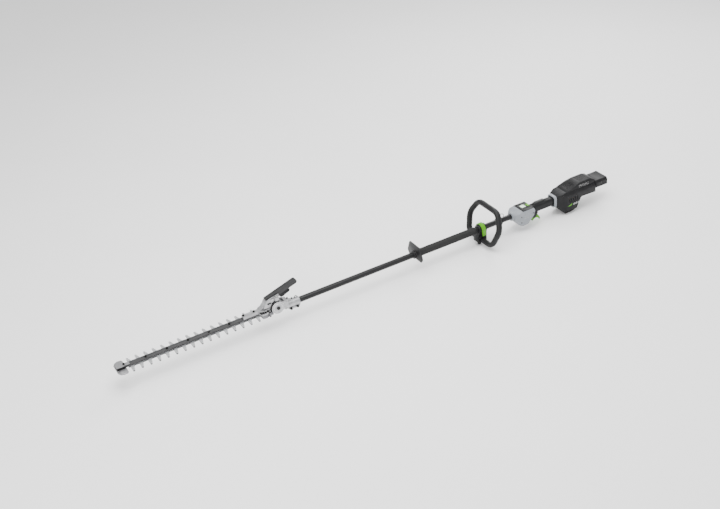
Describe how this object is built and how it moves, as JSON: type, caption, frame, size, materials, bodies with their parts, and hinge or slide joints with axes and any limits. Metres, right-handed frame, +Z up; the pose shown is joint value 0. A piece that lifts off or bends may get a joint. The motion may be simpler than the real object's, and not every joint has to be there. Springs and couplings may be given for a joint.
{
  "type": "pole hedge trimmer",
  "caption": "Battery pole hedge trimmer: long shaft, tilting double-action cutter bar, loop handle, foam grip and a rear motor housing with battery dock.",
  "frame": {"origin": "bottom centre of the bounding box, on the floor under the middle of the tool", "axes": "+X along the shaft towards the blade tip, +Y to the user's left, +Z up"},
  "size_m": [2.355, 0.2354, 0.1843],
  "materials": {
    "guard_steel": "satin",
    "blade_steel": "ground",
    "bar_steel": "satin",
    "black_plastic": "fine grain",
    "dark_plastic": "fine grain",
    "grey_plastic": "fine grain",
    "lever_plastic": "fine grain",
    "green_plastic": "semi gloss",
    "display": "clear",
    "cast_alu": "cast",
    "cast_alu_dark": "cast",
    "tube_black": "satin",
    "foam": "closed-cell foam",
    "rubber": "matte",
    "black_steel": "blackened",
    "zinc_steel": "zinc plated",
    "gear_steel": "machined",
    "bronze": "sintered",
    "copper": "enamelled windings",
    "board": "solder mask",
    "switch_red": "moulded"
  },
  "bodies": {
    "pole": {"pivot_bolt": "black_steel", "index_plate": "bar_steel", "pivot_cap": "cast_alu", "neck_yoke": "cast_alu", "neck_cover": "cast_alu", "neck_bolts": "black_steel", "shaft_tube": "tube_black", "drive_bushes": "bronze", "hand_stop": "black_plastic", "foam_grip": "foam", "harness_clamp": "black_plastic", "control_left": "grey_plastic", "control_right": "grey_plastic", "control_panel": "dark_plastic", "display_lens": "display", "control_board": "board", "handle_left": "dark_plastic", "handle_right": "dark_plastic", "handle_screws": "zinc_steel", "trigger_switch": "switch_red", "motor_left": "dark_plastic", "motor_right": "dark_plastic", "motor_hood": "dark_plastic", "front_collar": "grey_plastic", "housing_screws": "zinc_steel", "stator": "copper", "motor_bearings": "gear_steel", "foot_pad": "rubber", "battery_dock": "black_plastic", "dock_terminals": "bronze"},
    "drive_line": {"drive_shaft": "gear_steel", "rotor": "gear_steel"},
    "transfer": {"transfer_shaft": "gear_steel"},
    "idler": {"idler_bevel": "gear_steel"},
    "head": {"tip_guard": "guard_steel", "tip_block": "black_plastic", "blade_bar": "bar_steel", "bar_bolts": "black_steel", "bar_nuts": "zinc_steel", "gearbox_upper": "cast_alu", "gearbox_lower": "cast_alu_dark", "gearbox_bolts": "black_steel", "head_bearings": "gear_steel", "lever_bracket": "cast_alu", "lever_handle": "lever_plastic"},
    "output": {"output_shaft": "gear_steel"},
    "crank": {"crank_gear": "gear_steel"},
    "upper_blade": {"blade_upper": "blade_steel"},
    "lower_blade": {"blade_lower": "blade_steel"},
    "lock_trigger": {"lock_trigger": "black_plastic"},
    "lock_pin": {"lock_pin": "zinc_steel"},
    "loop": {"loop_handle": "black_plastic", "loop_clamp": "black_plastic", "clamp_knobs": "black_steel"},
    "cam": {"cam_lever": "green_plastic"},
    "strap_ring": {"harness_ring": "zinc_steel"},
    "throttle": {"trigger": "green_plastic"},
    "lock_off": {"lock_off_lever": "grey_plastic"},
    "power_button": {"power_button": "green_plastic"},
    "eject_button": {"eject_button": "lever_plastic"}
  },
  "joints": [
    {"name": "drive_spin", "type": "hinge", "parent": "pole", "child": "drive_line", "pos_m": [-0.9725, 0, 0.076], "axis": [1, 0, 0], "continuous": true},
    {"name": "transfer_spin", "type": "hinge", "parent": "pole", "child": "transfer", "pos_m": [0.4595, 0, 0.094], "axis": [1, 0, 0], "continuous": true},
    {"name": "idler_spin", "type": "hinge", "parent": "pole", "child": "idler", "pos_m": [0.5015, -0.006, 0.094], "axis": [0, 1, 0], "continuous": true},
    {"name": "head_tilt", "type": "hinge", "parent": "pole", "child": "head", "pos_m": [0.5015, 0, 0.094], "axis": [0, 1, 0], "range_deg": [-20, 100]},
    {"name": "output_spin", "type": "hinge", "parent": "head", "child": "output", "pos_m": [0.5275, 0, 0.094], "axis": [1, 0, 0], "continuous": true},
    {"name": "crank_spin", "type": "hinge", "parent": "head", "child": "crank", "pos_m": [0.5595, 0, 0.081], "axis": [0, 0, 1], "continuous": true},
    {"name": "upper_blade_slide", "type": "slide", "parent": "head", "child": "upper_blade", "axis": [1, 0, 0], "range_m": [-0.00875, 0.00875]},
    {"name": "lower_blade_slide", "type": "slide", "parent": "head", "child": "lower_blade", "axis": [1, 0, 0], "range_m": [-0.00875, 0.00875]},
    {"name": "lock_trigger_squeeze", "type": "hinge", "parent": "head", "child": "lock_trigger", "pos_m": [0.4805, 0, 0.139], "axis": [0, 1, 0], "range_deg": [0, 8], "stiffness_Nm_per_rad": 1, "springref_deg": -17.19},
    {"name": "lock_pin_lift", "type": "slide", "parent": "head", "child": "lock_pin", "axis": [0, 0, 1], "range_m": [0, 0.006]},
    {"name": "loop_slide", "type": "slide", "parent": "pole", "child": "loop", "axis": [1, 0, 0], "range_m": [-0.05, 0]},
    {"name": "clamp_lever_swing", "type": "hinge", "parent": "loop", "child": "cam", "pos_m": [-0.5015, -0.0245, 0.071], "axis": [1, 0, 0], "range_deg": [0, 100]},
    {"name": "strap_ring_swing", "type": "hinge", "parent": "pole", "child": "strap_ring", "pos_m": [-0.5975, 0, 0.0969], "axis": [0, 1, 0], "range_deg": [0, 150]},
    {"name": "trigger_squeeze", "type": "hinge", "parent": "pole", "child": "throttle", "pos_m": [-0.7845, 0, 0.04], "axis": [0, 1, 0], "range_deg": [0, 12], "stiffness_Nm_per_rad": 1, "springref_deg": -17.19},
    {"name": "lock_off_press", "type": "hinge", "parent": "pole", "child": "lock_off", "pos_m": [-0.7885, 0, 0.0938], "axis": [0, -1, 0], "range_deg": [0, 4], "stiffness_Nm_per_rad": 1.5, "springref_deg": -11.46},
    {"name": "power_button_press", "type": "slide", "parent": "pole", "child": "power_button", "axis": [0, 0, -1], "range_m": [0, 0.0012], "stiffness_N_per_m": 400, "springref_m": -0.001},
    {"name": "eject_button_press", "type": "slide", "parent": "pole", "child": "eject_button", "axis": [0, -1, 0], "range_m": [0, 0.003], "stiffness_N_per_m": 400, "springref_m": -0.001}
  ],
  "couplings": [
    {"joint": "transfer_spin", "follows": "drive_spin", "ratio": -1},
    {"joint": "idler_spin", "follows": "drive_spin", "ratio": 0.66667},
    {"joint": "output_spin", "follows": "drive_spin", "ratio": 1},
    {"joint": "crank_spin", "follows": "drive_spin", "ratio": -0.33333},
    {"joint": "lower_blade_slide", "follows": "upper_blade_slide", "ratio": -1},
    {"joint": "lock_pin_lift", "follows": "lock_trigger_squeeze", "m_per_rad": 0.0425}
  ]
}
